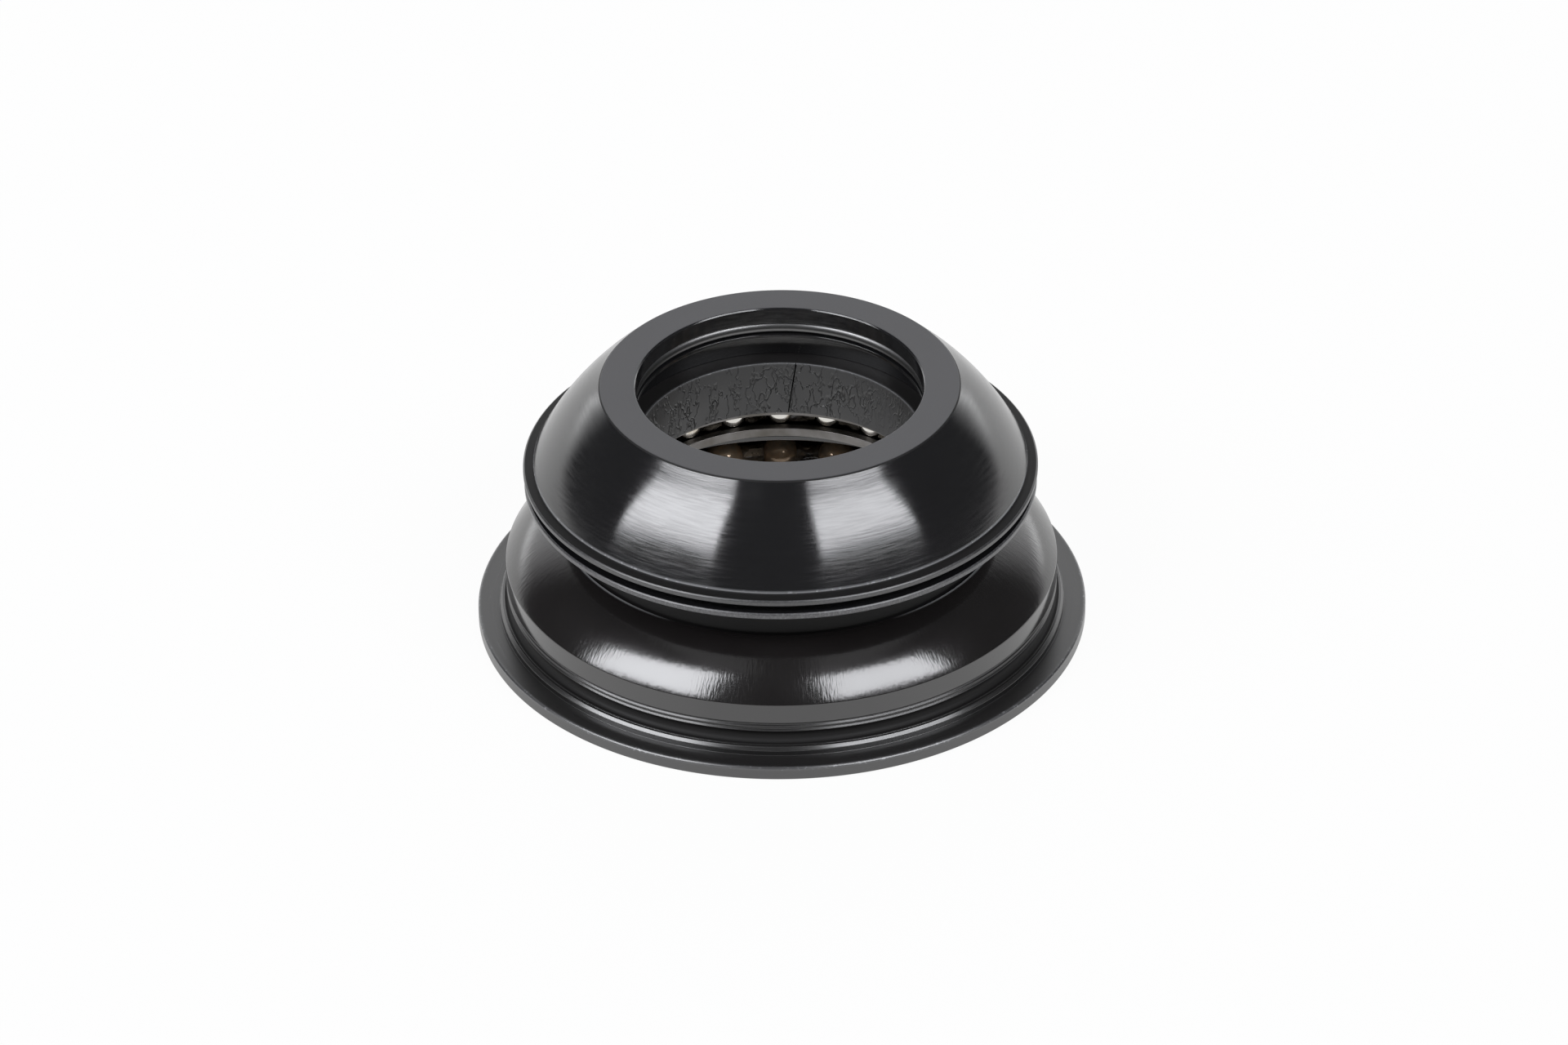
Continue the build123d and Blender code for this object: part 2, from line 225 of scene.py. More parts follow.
def fine_section(loop, soften):
    """Section with its arcs filled in and its corners rounded: points, normal angles and edge values."""
    count = len(loop)
    step = np.roll(loop, -1, axis=0) - loop
    length = np.hypot(step[:, 0], step[:, 1])
    heading = np.arctan2(step[:, 1], step[:, 0])
    turn = (heading - np.roll(heading, 1) + math.pi) % (2 * math.pi) - math.pi
    corner = abs(turn) > CORNER_TURN
    before = np.roll(length, 1)
    smooth = np.roll(heading, 1) + turn * before / (before + length)
    wanted = np.array([soften(r, z) if soften else ROUND for r, z in loop])
    trim = np.where(corner, np.minimum(wanted, ROUND_SHARE * np.minimum(before, length)), 0.0)
    points, angles, edges = [], [], []

    def put(point, angle, edge):
        points.append(point)
        angles.append(angle - math.pi / 2)
        edges.append(edge)

    for i in range(count):
        j = (i + 1) % count
        start = heading[i] if corner[i] else heading[i] + wrap(smooth[i] - heading[i])
        stop = heading[i] if corner[j] else heading[i] + wrap(smooth[j] - heading[i])
        if corner[i] and not corner[j]:
            start = 2 * heading[i] - stop
        if corner[j] and not corner[i]:
            stop = 2 * heading[i] - start
        first, last = trim[i] / length[i], 1 - trim[j] / length[i]
        rows = max(1, math.ceil(abs(stop - start) / STEP_TURN))
        marks = [(t, 0.0) for t in np.linspace(first, last, rows + 1)]
        marks[0] = (first, ROUND_END if turn[i] > 0 and corner[i] else 0.0)
        marks[-1] = (last, ROUND_END if turn[j] > 0 and corner[j] else 0.0)
        for guard in (first + GUARD * trim[i] / length[i], last - GUARD * trim[j] / length[i]):
            if first < guard < last:
                marks.append((guard, 0.0))
        for t, edge in sorted(set(marks))[:None if corner[j] else -1]:
            put(hermite(loop[i], loop[j], start, stop, length[i], t), start + (stop - start) * t, edge)
        if corner[j]:
            k = (j + 1) % count
            a = points[-1]
            b = loop[j] + (loop[k] - loop[j]) * trim[j] / length[j]
            for s in range(1, ROUND_STEPS):
                t = s / ROUND_STEPS
                bend = (1 - t) ** 2 * a + 2 * t * (1 - t) * loop[j] + t ** 2 * b
                put(bend, stop + turn[j] * t, 1.0 if turn[j] > 0 else 0.0)
    return np.array(points), np.array(angles), np.array(edges)


def wrap(angle):
    """The same angle, between minus and plus half a turn."""
    return (angle + math.pi) % (2 * math.pi) - math.pi


def hermite(a, b, start, stop, length, t):
    """A point on the smooth curve that leaves a and meets b at the given headings."""
    leave = length * np.array((math.cos(start), math.sin(start)))
    meet = length * np.array((math.cos(stop), math.sin(stop)))
    return ((2 * t ** 3 - 3 * t ** 2 + 1) * a + (t ** 3 - 2 * t ** 2 + t) * leave
            + (3 * t ** 2 - 2 * t ** 3) * b + (t ** 3 - t ** 2) * meet)


# Meshes

def turned_mesh(name, points, angles, marks, split):
    """Turn a section about Z, whole or with the ring's split. Marks are named values for its points."""
    rows = len(points)
    columns = SEGMENTS + (1 if split else 0)
    share = np.arange(columns) / SEGMENTS
    r = points[:, 0][:, None]
    if split:
        half = np.arcsin(SPLIT_HALF * np.where(r < r.min() + NEAR, 1.0, SPLIT_CLOSED) / r)
        middle = SPLIT_ANGLE - SPLIT_LEAN * (points[:, 1] - points[:, 1].mean())[:, None]
        phi = middle + half + share[None, :] * (2 * math.pi - 2 * half)
    else:
        phi = np.repeat(share[None, :] * 2 * math.pi, rows, axis=0)
    z = np.repeat(points[:, 1][:, None], columns, axis=1)
    co = np.stack([r * np.cos(phi), r * np.sin(phi), z], axis=2).reshape(-1, 3)
    out = np.cos(angles)[:, None]
    up = np.repeat(np.sin(angles)[:, None], columns, axis=1)
    normals = np.stack([out * np.cos(phi), out * np.sin(phi), up], axis=2).reshape(-1, 3)
    faces = []
    for i in range(rows):
        j = (i + 1) % rows
        for k in range(SEGMENTS):
            m = k + 1 if split else (k + 1) % columns
            faces.append((i * columns + k, i * columns + m, j * columns + m, j * columns + k))
    round_faces = len(faces)
    if split:
        faces.append([i * columns for i in range(rows)])
        faces.append([i * columns + SEGMENTS for i in reversed(range(rows))])
    mesh = bpy.data.meshes.new(name)
    mesh.from_pydata(co.tolist(), [], faces)
    mesh.polygons.foreach_set("use_smooth", [i < round_faces for i in range(len(faces))])
    for key, values in marks.items():
        mark = mesh.attributes.new(key, "FLOAT", "POINT")
        mark.data.foreach_set("value", np.repeat(values, columns))
    mesh.normals_split_custom_set_from_vertices(normals.tolist())
    mesh.update()
    return mesh


def turned_piece(node, body, materials, split=False, pick=None, wear=None, soften=None):
    """A finely turned piece in place of a CAD node.

    By place on its section, pick gives the material, wear gives the chips and the bare line along an edge,
    and soften gives the rounding of a corner.
    """
    points, angles, edges = fine_section(seam_loop(node), soften)
    worn = np.array([wear(r, z) if wear else (0.0, 0.0) for r, z in points])
    marks = {"chips": edges * worn[:, 0], "line": edges * worn[:, 1]}
    mesh = turned_mesh(node + "_turned", points, angles, marks, split)
    for material in materials:
        mesh.materials.append(material)
    if pick:
        middle = (points + np.roll(points, -1, axis=0)) / 2
        band = [materials.index(pick(r, z)) for r, z in middle]
        slots = np.zeros(len(mesh.polygons), int)
        slots[:len(band) * SEGMENTS] = np.repeat(band, SEGMENTS)
        mesh.polygons.foreach_set("material_index", slots)
    piece = bpy.data.objects.new(node + "_turned", mesh)
    bpy.context.scene.collection.objects.link(piece)
    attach(piece, body)
    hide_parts(node)


def grease_ring(name, ball, body, share, material):
    """Lumpy ring of grease between the balls, which stays inside the ring that they sweep."""
    low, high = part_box(ball)
    middle = (low + high) / 2
    pitch_r = math.hypot(middle.x, middle.y)
    thick = (high.z - low.z) / 2 * share
    lift = Vector((0, 0, middle.z))
    points = []
    for i in range(GREASE_ROUND):
        turn = 2 * math.pi * i / GREASE_ROUND
        out = Vector((math.cos(turn), math.sin(turn), 0))
        for j in range(GREASE_ACROSS):
            bend = 2 * math.pi * j / GREASE_ACROSS
            way = out * math.cos(bend) + Vector((0, 0, math.sin(bend)))
            lump = 2 * noise.noise((out * pitch_r + way * thick) / GREASE_LUMP)
            swell = 1 - GREASE_DEPTH + GREASE_DEPTH * max(-1.0, min(1.0, lump))
            points.append(out * pitch_r + lift + way * thick * swell)
    faces = []
    for i in range(GREASE_ROUND):
        a, b = i * GREASE_ACROSS, (i + 1) % GREASE_ROUND * GREASE_ACROSS
        for j in range(GREASE_ACROSS):
            k = (j + 1) % GREASE_ACROSS
            faces.append((a + j, b + j, b + k, a + k))
    mesh = bpy.data.meshes.new(name)
    mesh.from_pydata(points, [], faces)
    mesh.polygons.foreach_set("use_smooth", [True] * len(faces))
    mesh.materials.append(material)
    piece = bpy.data.objects.new(name, mesh)
    bpy.context.scene.collection.objects.link(piece)
    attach(piece, body)


# Materials

class Nodes:
    """A node tree, with short calls that add and link its nodes."""

    def __init__(self, tree):
        self.tree = tree

    def add(self, kind, inputs=None, **settings):
        node = self.tree.nodes.new(kind)
        for key, value in settings.items():
            setattr(node, key, value)
        for key, value in (inputs or {}).items():
            self.put(node.inputs[key], value)
        return node

    def put(self, socket, value):
        if isinstance(value, bpy.types.NodeSocket):
            self.tree.links.new(value, socket)
        else:
            socket.default_value = value

    def math(self, operation, a, b=0.0):
        return self.add("ShaderNodeMath", {0: a, 1: b}, operation=operation).outputs[0]

    def times(self, a, b):
        return self.math("MULTIPLY", a, b)

    def mix(self, factor, a, b):
        return self.add("ShaderNodeMix", {0: factor, 2: a, 3: b}).outputs[0]

    def spread(self, value, low, high, to_low=0.0, to_high=1.0, **settings):
        inputs = {"Value": value, "From Min": low, "From Max": high, "To Min": to_low, "To Max": to_high}
        return self.add("ShaderNodeMapRange", inputs, **settings).outputs[0]

    def ease(self, value, low, high):
        return self.spread(value, low, high, interpolation_type="SMOOTHSTEP")


class Finish(Nodes):
    """One material and its shader."""

    def __init__(self, name):
        self.material = bpy.data.materials.new(name)
        self.material.use_nodes = True
        super().__init__(self.material.node_tree)
        self.shader = self.tree.nodes["Principled BSDF"]

    def set(self, **values):
        """Set or link the shader's own sockets, by name with underscores for spaces."""
        for key, value in values.items():
            self.put(self.shader.inputs[key.replace("_", " ")], value)

    def place(self):
        return self.add("ShaderNodeTexCoord").outputs["Object"]

    def parts(self):
        return self.add("ShaderNodeSeparateXYZ", {"Vector": self.place()}).outputs

    def aside(self):
        """Distance to either side of the middle."""
        return self.math("ABSOLUTE", self.parts()["X"])

    def turned_place(self, drift):
        """Radius and height, so that a pattern runs in rings about the axis, drifting a little by angle."""
        parts = self.parts()
        flat = self.add("ShaderNodeCombineXYZ", {"X": parts["X"], "Y": parts["Y"]}).outputs[0]
        radius = self.add("ShaderNodeVectorMath", {0: flat}, operation="LENGTH").outputs["Value"]
        angle = self.math("ARCTAN2", parts["Y"], parts["X"])
        inputs = {"X": radius, "Y": parts["Z"], "Z": self.times(angle, drift)}
        return self.add("ShaderNodeCombineXYZ", inputs).outputs[0]

    def upright_place(self, radius, squeeze):
        """Place on a cylinder, with heights squeezed so that a pattern is drawn out upwards."""
        parts = self.parts()
        flat = self.add("ShaderNodeCombineXYZ", {"X": parts["X"], "Y": parts["Y"]}).outputs[0]
        way = self.add("ShaderNodeVectorMath", {0: flat}, operation="NORMALIZE").outputs[0]
        ring = self.add("ShaderNodeVectorMath", {0: way, "Scale": radius}, operation="SCALE").outputs[0]
        lift = self.add("ShaderNodeCombineXYZ", {"Z": self.times(parts["Z"], squeeze)}).outputs[0]
        return self.add("ShaderNodeVectorMath", {0: ring, 1: lift}, operation="ADD").outputs[0]

    def noise(self, place, scale, detail=2.0, roughness=0.5):
        inputs = {"Vector": place, "Scale": scale, "Detail": detail, "Roughness": roughness}
        return self.add("ShaderNodeTexNoise", inputs).outputs[0]

    def vary(self, value, low, high):
        """A value from low to high, by a noise."""
        return self.spread(value, *NOISE_RANGE, low, high)

    def tint(self, factor, a, b):
        inputs = {0: factor, 6: (*a, 1.0) if isinstance(a, tuple) else a, 7: (*b, 1.0)}
        return self.add("ShaderNodeMix", inputs, data_type="RGBA").outputs[2]

    def bump(self, height, distance, normal=None):
        node = self.add("ShaderNodeBump", {"Height": height, "Distance": distance, "Strength": 1.0})
        if normal:
            self.put(node.inputs["Normal"], normal)
        return node.outputs[0]

    def mark(self, name):
        return self.add("ShaderNodeAttribute", attribute_name=name).outputs["Fac"]

    def worn(self, scale, low, high):
        """Mask of the bare metal along the edges: a line, and chips beside it."""
        chips = self.spread(self.noise(self.place(), scale, 3.0, 0.6), low, high)
        return self.math("MAXIMUM", self.mark("line"), self.times(self.mark("chips"), chips))

    def coat(self, base, worn, metal=0.9):
        """Colour of the finish, with bare metal where it is worn; on the dome it also paints a highlight
        along the hole's sides.
        """
        self.set(Base_Color=self.tint(worn, base, BARE_METAL_AND_HIGHLIGHT), Metallic=self.times(worn, metal))


def satin_black():
    """Black anodised aluminium with fine turning lines, which draw its highlights out along the cone."""
    f = Finish("satin_black")
    worn = f.worn(1500, 0.48, 0.66)
    f.coat(f.tint(f.noise(f.place(), 120, 3.0), (0.0080, 0.0080, 0.0088), (0.012, 0.012, 0.013)), worn)
    lines = f.noise(f.turned_place(0.0006), 9000, 3.0, 0.7)
    feed = f.noise(f.turned_place(0.0016), 4600, 2.0, 0.6)
    rough = f.spread(feed, 0.38, 0.62, 0.118, 0.175)
    f.set(Roughness=f.mix(worn, rough, BARE_ROUGH), IOR=1.9, Anisotropic=0.86, Anisotropic_Rotation=0.25)
    f.set(Normal=f.bump(feed, 0.0045 * MM, f.bump(lines, 0.0022 * MM)))
    f.set(Tangent=f.add("ShaderNodeTangent", direction_type="RADIAL", axis="Z").outputs[0])
    return f.material


def plain_black(name, tone, rough, ior, grain_depth):
    """Black anodised aluminium of one tone, from dull to a soft shine, with a faint turned grain."""
    f = Finish(name)
    grain = f.noise(f.turned_place(0.0004), 6000, 3.0, 0.7)
    dark, pale = (0.8 * tone, 0.75 * tone, 0.75 * tone), (1.25 * tone, 1.2 * tone, 1.2 * tone)
    f.coat(f.tint(grain, dark, pale), f.worn(2600, 0.56, 0.68))
    f.set(Roughness=f.vary(grain, rough, rough + 0.08), IOR=ior, Normal=f.bump(grain, grain_depth))
    return f.material


def matte_top():
    """The cover's flat top, faced and then bead blasted to a dull grey."""
    f = Finish("matte_top")
    grain = f.noise(f.place(), 9000, 2.0, 0.7)
    cloud = f.noise(f.place(), 90, 3.0)
    f.set(Base_Color=f.tint(cloud, (0.034, 0.034, 0.038), (0.044, 0.044, 0.049)))
    f.set(Roughness=f.vary(grain, 0.42, 0.52), IOR=1.9, Normal=f.bump(grain, 0.002 * MM))
    return f.material


def speckled_band(name, tone):
    """The narrow upright bands of the rims, where the black is thin and rubbed."""
    f = Finish(name)
    grain = f.noise(f.place(), 5000, 3.0, 0.8)
    speck = f.spread(grain, 0.45, 0.70, 0.0, 0.40)
    f.set(Base_Color=f.tint(speck, (tone, tone, 1.08 * tone), (10 * tone, 10 * tone, 10.4 * tone)))
    f.set(Roughness=f.vary(grain, 0.30, 0.44), IOR=1.9, Normal=f.bump(grain, 0.003 * MM))
    return f.material


def polished_base(f, cloud):
    """Colour of polished black anodised aluminium."""
    return f.tint(cloud, (0.0088, 0.0076, 0.0076), (0.0128, 0.0113, 0.0113))


def dome_black():
    """Polished black with a fine orange peel, drawn out upwards, and a painted highlight: a bare-metal line
    round the hole, shown only at its sides.
    """
    f = Finish("dome_black")
    # Painted highlight: the bare line round the hole is kept only to either side, where the edge's
    # reflection shows.
    worn = f.times(f.worn(1100, 0.54, 0.68), f.spread(f.aside(), *HOLE_HIGHLIGHT_SIDES))
    cloud = f.noise(f.place(), 150, 3.0)
    f.coat(polished_base(f, cloud), worn, metal=0.45)
    marks = f.noise(f.upright_place(DOME_MARK_R, DOME_MARK_SQUEEZE), 5000, 2.0, 0.55)
    peel = f.noise(f.place(), 1300, 2.0, 0.5)
    f.set(Roughness=f.mix(worn, f.vary(cloud, 0.13, 0.17), BARE_ROUGH), IOR=1.9)
    f.set(Normal=f.bump(marks, 0.011 * MM, f.bump(peel, 0.007 * MM)))
    return f.material


def gloss_black():
    """Polished black with hardly any grain."""
    f = Finish("gloss_black")
    lines = f.noise(f.turned_place(0.0004), 8000, 2.0)
    f.set(Base_Color=polished_base(f, f.noise(f.place(), 150, 3.0)), IOR=1.9)
    f.set(Roughness=f.vary(lines, 0.09, 0.12), Normal=f.bump(lines, 0.0005 * MM))
    return f.material


def greased_ring():
    """Bore of the split ring, with a crinkled film of grease."""
    f = Finish("greased_ring")
    place = f.place()
    patch = f.spread(f.noise(place, 150, 2.0), 0.38, 0.62, 0.2, 1.0)
    creases = 0.0
    for scale, slope in CREASE_SETS:
        inputs = {"Vector": place, "Rotation": (0.0, slope, 0.0), "Scale": CREASE_SQUEEZE}
        slant = f.add("ShaderNodeMapping", inputs).outputs[0]
        away = f.math("ABSOLUTE", f.math("SUBTRACT", f.noise(slant, scale, 3.0, 0.6), 0.5))
        creases = f.math("MAXIMUM", creases, f.spread(away, 0.0, CREASE_WIDTH, 1.0, 0.0))
    creases = f.times(creases, patch)
    f.coat(f.tint(creases, (0.030, 0.030, 0.0305), (0.006, 0.006, 0.006)), f.worn(1500, 0.5, 0.66))
    f.set(Roughness=f.spread(patch, 0.2, 1.0, 0.50, 0.34), IOR=1.9, Normal=f.bump(creases, -0.07 * MM))
    return f.material


def black_rubber():
    """Smooth moulded rubber, shiny with grease."""
    f = Finish("black_rubber")
    grain = f.noise(f.place(), 5000, 3.0)
    f.set(Base_Color=f.tint(grain, (0.010, 0.010, 0.010), (0.018, 0.018, 0.018)))
    f.set(Roughness=f.vary(grain, 0.34, 0.40), IOR=2.6, Normal=f.bump(grain, 0.0015 * MM))
    return f.material


def race_steel():
    """Ground bearing steel with a thin film of grease."""
    f = Finish("race_steel")
    film = f.spread(f.noise(f.place(), 260, 4.0, 0.6), 0.35, 0.65)
    lines = f.noise(f.turned_place(0.0004), 9000, 2.0)
    f.set(Base_Color=f.tint(film, (0.26, 0.25, 0.245), (0.15, 0.14, 0.125)), Metallic=1.0)
    f.set(Roughness=f.vary(lines, 0.3, 0.42), Normal=f.bump(lines, 0.003 * MM))
    return f.material


def retainer_steel():
    """Pressed steel cage under brown grease."""
    f = Finish("retainer_steel")
    film = f.spread(f.noise(f.place(), 420, 4.0, 0.6), 0.35, 0.65)
    f.set(Base_Color=f.tint(film, (0.30, 0.25, 0.19), (0.14, 0.09, 0.05)))
    f.set(Metallic=f.mix(film, 0.9, 0.2), Roughness=f.mix(film, 0.3, 0.22))
    f.set(Normal=f.bump(f.noise(f.place(), 1500, 3.0), 0.02 * MM))
    return f.material


def ball_steel():
    """Polished ball with a few smears."""
    f = Finish("ball_steel")
    smear = f.spread(f.noise(f.place(), 900, 3.0, 0.6), 0.5, 0.75)
    f.set(Base_Color=f.tint(smear, (0.86, 0.84, 0.79), (0.62, 0.54, 0.42)), Metallic=1.0)
    f.set(Roughness=f.mix(smear, 0.14, 0.32))
    return f.material


def ball_greased():
    """Polished ball under brown grease."""
    f = Finish("ball_greased")
    film = f.spread(f.noise(f.place(), 520, 4.0, 0.65), 0.36, 0.62)
    f.set(Base_Color=f.tint(film, (0.62, 0.50, 0.37), (0.46, 0.31, 0.19)))
    f.set(Metallic=f.mix(film, 0.6, 0.15), Roughness=f.mix(film, 0.10, 0.16))
    f.set(Normal=f.bump(f.noise(f.place(), 900, 3.0), 0.05 * MM))
    return f.material


def grease(name, dark, pale):
    """Bearing grease, lumpy and shiny."""
    f = Finish(name)
    cloud = f.noise(f.place(), 600, 4.0, 0.6)
    f.set(Base_Color=f.tint(f.spread(cloud, 0.35, 0.65), dark, pale), Roughness=f.vary(cloud, 0.10, 0.24))
    f.set(IOR=1.6, Normal=f.bump(f.noise(f.place(), 1500, 3.0), 0.08 * MM))
    return f.material


def floor_white():
    """White floor with a slight sheen and a soft shadow. The camera and reflections see it as white."""
    f = Finish("floor_white")
    path = f.add("ShaderNodeLightPath").outputs
    seen = f.times(path["Is Camera Ray"], FLOOR_SEEN)
    mirrored = f.times(f.math("MAXIMUM", path["Is Glossy Ray"], path["Is Transmission Ray"]),
                       f.spread(f.aside(), *FLOOR_SIDES, FLOOR_MIRRORED, 1.0))
    share = f.math("MAXIMUM", seen, mirrored)
    tone = f.noise(f.place(), 3.0, 2.0)
    f.set(Base_Color=f.tint(tone, (0.90, 0.90, 0.90), (0.93, 0.93, 0.93)), Roughness=0.25)
    glow = f.add("ShaderNodeEmission", {"Color": (1.0, 1.0, 1.0, 1.0), "Strength": 1.0}).outputs[0]
    both = f.add("ShaderNodeMixShader", {0: share, 1: f.shader.outputs[0], 2: glow}).outputs[0]
    f.put(f.tree.nodes["Material Output"].inputs["Surface"], both)
    return f.material


# Studio

def make_floor():
    """Flat white sweep that curves up far away."""
    radii = np.concatenate([np.linspace(FLOOR_HUB_R, FLOOR_FLAT_R, FLOOR_FLAT_RINGS),
                            np.linspace(FLOOR_FLAT_R, FLOOR_R, FLOOR_RISING_RINGS)[1:]])
    lift = FLOOR_RISE * np.maximum(0.0, (radii - FLOOR_FLAT_R) / (FLOOR_R - FLOOR_FLAT_R)) ** 2
    base = cad_low.z - FLOOR_GAP
    phi = np.arange(FLOOR_COLUMNS) * 2 * math.pi / FLOOR_COLUMNS
    points = [(0.0, 0.0, base)]
    for r, up in zip(radii, lift):
        points += [(r * math.cos(a), r * math.sin(a), base + up) for a in phi]
    pairs = [(k, (k + 1) % FLOOR_COLUMNS) for k in range(FLOOR_COLUMNS)]
    faces = [(0, 1 + k, 1 + m) for k, m in pairs]
    for row in range(len(radii) - 1):
        a, b = 1 + row * FLOOR_COLUMNS, 1 + (row + 1) * FLOOR_COLUMNS
        faces += [(a + k, b + k, b + m, a + m) for k, m in pairs]
    mesh = bpy.data.meshes.new("floor")
    mesh.from_pydata(points, [], faces)
    mesh.polygons.foreach_set("use_smooth", [True] * len(faces))
    mesh.materials.append(floor_white())
    floor = bpy.data.objects.new("floor", mesh)
    bpy.context.scene.collection.objects.link(floor)


def make_softbox(name, facing, near, far, low, radiance):
    """Upright softbox beside the camera. Facing is its azimuth; near, far and low are its edges."""
    ahead = Vector((math.sin(facing), -math.cos(facing), 0))
    along = math.copysign(1.0, facing) * Vector((math.cos(facing), math.sin(facing), 0))
    up = Vector((0, 0, 1))
    light = bpy.data.lights.new(name, "AREA")
    light.shape = "RECTANGLE"
    light.size = (far - near) * SOFTBOX_DISTANCE
    light.size_y = (SOFTBOX_HIGH - low) * SOFTBOX_DISTANCE
    light.color = SOFTBOX_TINT
    light.energy = radiance * math.pi * light.size * light.size_y
    middle = ahead + along * (near + far) / 2 + up * (low + SOFTBOX_HIGH) / 2
    lamp = bpy.data.objects.new(name, light)
    lamp.rotation_euler = ahead.to_track_quat("Z", "Y").to_euler()
    lamp.location = up * height / 2 + middle * SOFTBOX_DISTANCE
    bpy.context.scene.collection.objects.link(lamp)


def make_world():
    """Surroundings: a backdrop, brightest at its foot, two dim ceiling panels, and dark elsewhere."""
    world = bpy.data.worlds.new("studio")
    bpy.context.scene.world = world
    world.use_nodes = True
    w = Nodes(world.node_tree)
    way = w.add("ShaderNodeTexCoord").outputs["Generated"]
    x, y, z = w.add("ShaderNodeSeparateXYZ", {"Vector": way}).outputs
    behind = w.ease(y, *BEHIND)
    aside = w.ease(w.math("ABSOLUTE", x), *CEILING_ASIDE)
    backdrop = w.times(w.times(behind, w.ease(z, *BACKDROP_UP)), BACKDROP_LEVEL)
    foot = w.times(w.times(behind, w.ease(z, *FOOT_UP)), FOOT_LEVEL)
    ceiling = w.times(w.times(aside, w.ease(z, *CEILING_UP)), CEILING_LEVEL)
    level = w.math("ADD", w.math("ADD", backdrop, foot), w.math("ADD", ceiling, BASE_LEVEL))
    seen = w.add("ShaderNodeLightPath").outputs["Is Camera Ray"]
    back = w.tree.nodes["Background"]
    w.put(back.inputs["Color"], WORLD_TINT)
    w.put(back.inputs["Strength"], w.mix(seen, level, 1.0))


def make_camera():
    """Camera at the photograph's viewing angle."""
    data = bpy.data.cameras.new("camera")
    data.sensor_fit = "HORIZONTAL"
    data.sensor_width = SENSOR_WIDTH
    data.lens = CAMERA_LENS
    data.clip_start, data.clip_end = CAMERA_CLIP
    back = Vector((0, -math.cos(CAMERA_ELEVATION), math.sin(CAMERA_ELEVATION)))
    lift = Vector((0, math.sin(CAMERA_ELEVATION), math.cos(CAMERA_ELEVATION)))
    side = Vector((1, 0, 0))
    right = side * math.cos(CAMERA_ROLL) + lift * math.sin(CAMERA_ROLL)
    up = lift * math.cos(CAMERA_ROLL) - side * math.sin(CAMERA_ROLL)
    target = Vector((LOOK_ASIDE, -LOOK_FORWARD, cad_low.z + LOOK_UP))
    camera = bpy.data.objects.new("camera", data)
    turn = Matrix((right, up, back)).transposed().to_4x4()
    camera.matrix_world = Matrix.Translation(target + back * CAMERA_DISTANCE) @ turn
    bpy.context.scene.collection.objects.link(camera)
    bpy.context.scene.camera = camera


# The object

SATIN = satin_black()
# Dull black for the ledge, the top bevel and the relief, and as painted shade on the upper cup's skirt.
DULL_AND_SHADE = plain_black("dull_black_and_shade", tone=0.010, rough=0.50, ior=1.35, grain_depth=0.003 * MM)
FLANGE = plain_black("flange_black", tone=0.013, rough=0.27, ior=2.0, grain_depth=0.0008 * MM)
SLOPE = plain_black("slope_black", tone=0.015, rough=0.42, ior=1.5, grain_depth=0.001 * MM)
EDGE = plain_black("edge_black", tone=0.012, rough=0.20, ior=2.05, grain_depth=0.0005 * MM)
TOP = matte_top()
RIM = speckled_band("rim_band", tone=0.013)
BAND = speckled_band("cup_band", tone=0.030)
DOME = dome_black()
GLOSS = gloss_black()
RING = greased_ring()
RUBBER = black_rubber()
RACE = race_steel()
CAGE = retainer_steel()
BALL = ball_steel()
GREASED = ball_greased()
CREAM = grease("cream_grease", dark=(0.06, 0.05, 0.04), pale=(0.42, 0.38, 0.31))
BROWN = grease("brown_grease", dark=(0.025, 0.017, 0.010), pale=(0.15, 0.11, 0.07))


def cover_finish(r, z):
    """Matte top face, speckled rim, dull ledge and top bevel, and a satin cone and bore."""
    if z > top_z - NEAR:
        return TOP
    if r > rim_r - BEVEL:
        return RIM
    on_ledge = r > cone_foot_r - NEAR and z < cone_foot_z - NEAR
    on_bevel = r > top_r - BEVEL and z > top_z - BEVEL
    return DULL_AND_SHADE if on_ledge or on_bevel else SATIN


def cup_finish_and_shade(r, z):
    """Speckled band on the flange's edge, and a skirt of dull black as painted shade under the flange."""
    if r > cup_flange_r - BEVEL:
        return BAND
    # The skirt under the flange is dark with shade; the dull, less reflective black paints that shade.
    return DULL_AND_SHADE if z < cup_flange_low else SATIN


def lower_finish(r, z):
    """Marked dome, plain flange, dull relief, and soft shines on the shoulder and the scored lines."""
    if z > crease_z:
        return DOME
    if z < flange_z + NEAR:
        return FLANGE
    if r < seat_r - WALL_DEPTH:
        return GLOSS
    if shoulder_z + NEAR < z < seat_foot_z - NEAR:
        return DULL_AND_SHADE
    on_score = seat_foot_z < z < seat_foot_z + SCORED_HEIGHT and r < seat_r - SCORE_INSET
    return EDGE if on_score or z < shoulder_z + NEAR else GLOSS


def ring_finish(r, z):
    """Greased bore, and plain slopes and ends."""
    return RING if r < ring_bore_r + NEAR else SLOPE


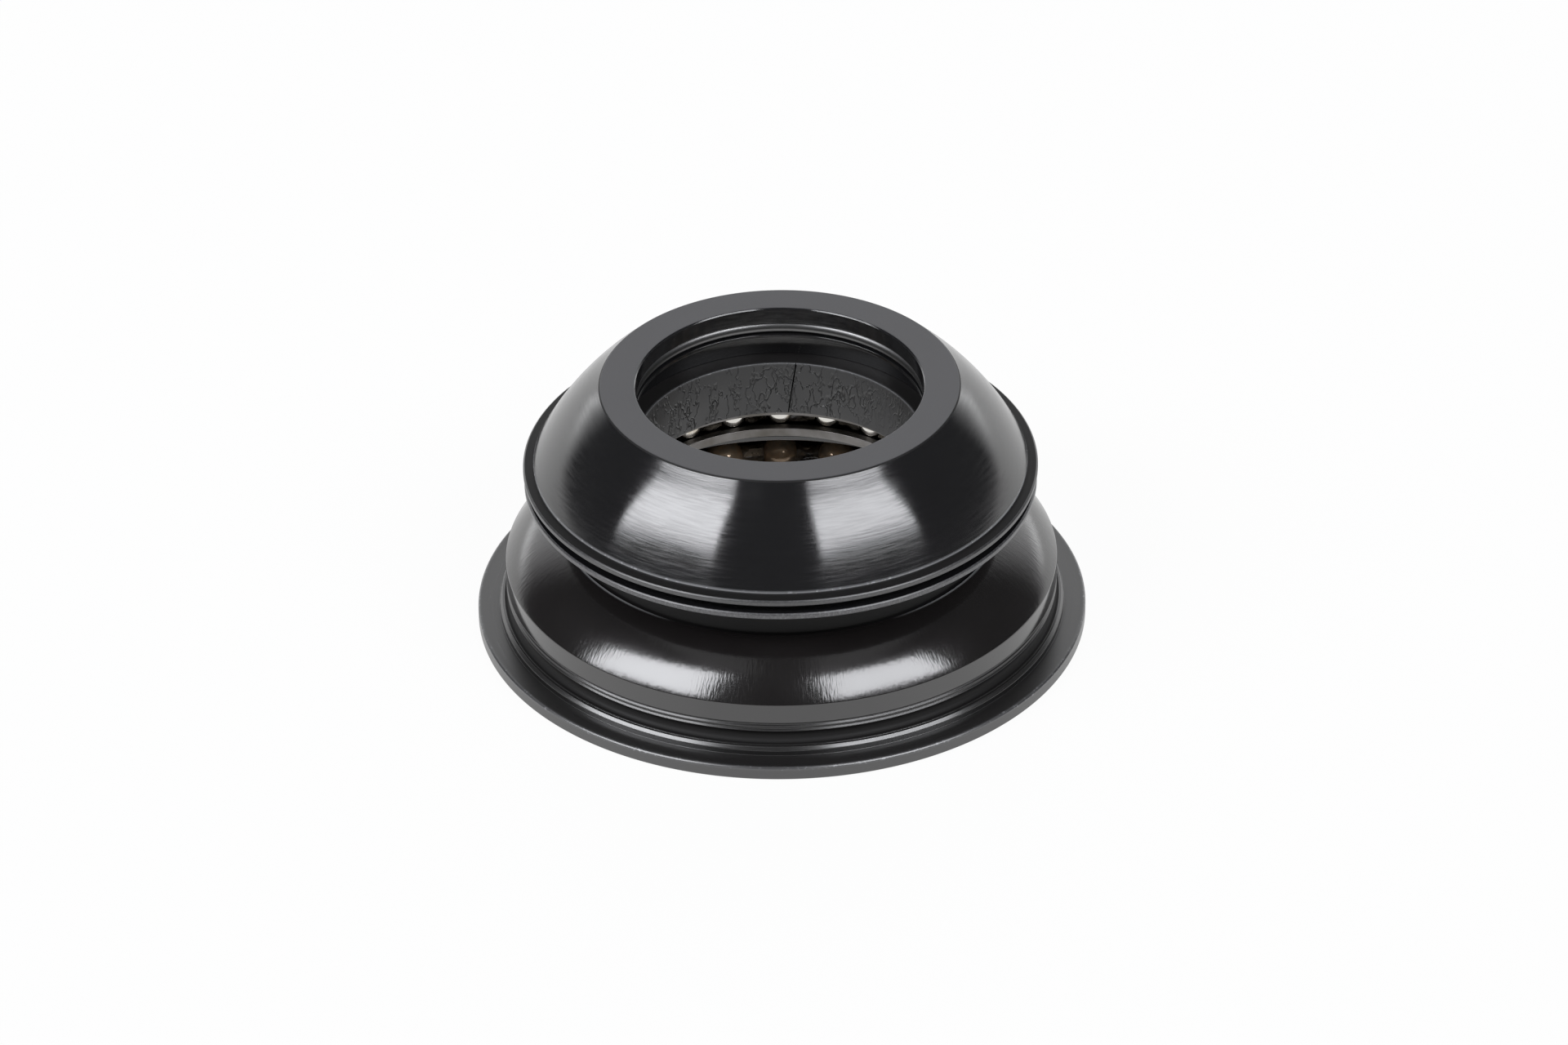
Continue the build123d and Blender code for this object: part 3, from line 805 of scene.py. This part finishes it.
def cover_wear(r, z):
    """Chips and bare line: a fine line round the cone's foot."""
    on_foot = abs(r - cone_foot_r) < EDGE_REACH and z > cone_foot_z - EDGE_REACH
    return (0.9, 0.5) if on_foot else (0.0, 0.0)


def lower_wear_and_highlight(r, z):
    """Chips and bare line: a line round the hole, which the dome shows only at its sides as a painted
    highlight, and both faintly on the flange's top edge.
    """
    # The line round the hole stands in for the edge's reflection: a painted highlight.
    if z > dome_z - EDGE_REACH:
        return 0.0, 0.8
    return (0.5, 0.10) if r > flange_r - EDGE_REACH and z > flange_z - EDGE_REACH else (0.0, 0.0)


def ring_wear(r, z):
    """Chips and bare line: both faint, on the ring's top inner edge."""
    return (0.5, 0.25) if z > ring_top_z - EDGE_REACH and r < ring_bore_r + EDGE_REACH else (0.0, 0.0)


def lower_round(r, z):
    """A wider round on the crease between the wall and the dome."""
    return CREASE_ROUND if abs(z - crease_z) < NEAR and abs(r - seat_r) < NEAR else ROUND


turned_piece("top_cover", "upper_turning", [SATIN, TOP, RIM, DULL_AND_SHADE],
             pick=cover_finish, wear=cover_wear)
turned_piece("upper_cup", "cups", [SATIN, BAND, DULL_AND_SHADE], pick=cup_finish_and_shade)
turned_piece("lower_cup", "cups", [GLOSS, DOME, FLANGE, DULL_AND_SHADE, EDGE],
             pick=lower_finish, wear=lower_wear_and_highlight, soften=lower_round)
turned_piece("compression_ring", "upper_turning", [RING, SLOPE],
             split=True, pick=ring_finish, wear=ring_wear)
turned_piece("cover_o_ring", "upper_turning", [RUBBER])
turned_piece("cover_lip_seal", "upper_turning", [RUBBER])
turned_piece("crown_race_seal", "crown_turning", [RUBBER])
turned_piece("upper_cone", "upper_turning", [RACE])
turned_piece("upper_race", "cups", [RACE])
turned_piece("lower_race", "cups", [RACE])
turned_piece("crown_race", "crown_turning", [RACE])

for name, node in nodes.items():
    if "_ball_" not in name:
        continue
    finish = BALL if name.startswith("upper") else GREASED
    node.data.materials.clear()
    node.data.materials.append(CAGE if "retainer" in name else finish)

grease_ring("upper_grease", "upper_ball_01", "upper_ball_set", UPPER_GREASE, CREAM)
grease_ring("lower_grease", "lower_ball_01", "lower_ball_set", LOWER_GREASE, BROWN)

make_floor()
for name, settings in SOFTBOXES.items():
    make_softbox(name, **settings)
make_world()
make_camera()
bpy.context.scene.view_settings.view_transform = "Standard"
